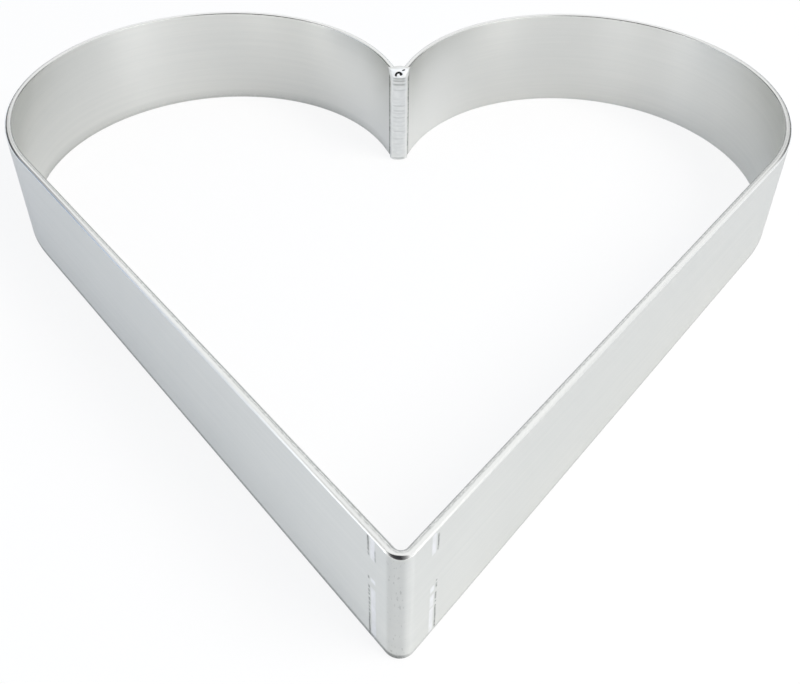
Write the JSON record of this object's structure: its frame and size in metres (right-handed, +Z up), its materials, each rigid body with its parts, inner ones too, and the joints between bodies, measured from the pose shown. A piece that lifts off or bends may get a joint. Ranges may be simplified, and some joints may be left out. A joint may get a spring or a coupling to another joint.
{
  "type": "heart cake ring",
  "caption": "Open heart-shaped cake ring bent from flat stainless strip, with rolled lobes, a folded point and a weld down the cleft.",
  "frame": {"origin": "under the middle of the ring's outer box, on the surface that it stands on", "axes": "+Z up, +X across the two lobes, -Y towards the heart's point and +Y towards its lobes"},
  "size_m": [0.2448, 0.2302, 0.035],
  "materials": {
    "heart_band": "satin stainless with a fine grain along the strip",
    "notch_weld": "rippled weld metal, brushed back"
  },
  "bodies": {
    "root": {"heart_band": "heart_band", "notch_weld": "notch_weld"}
  },
  "joints": []
}
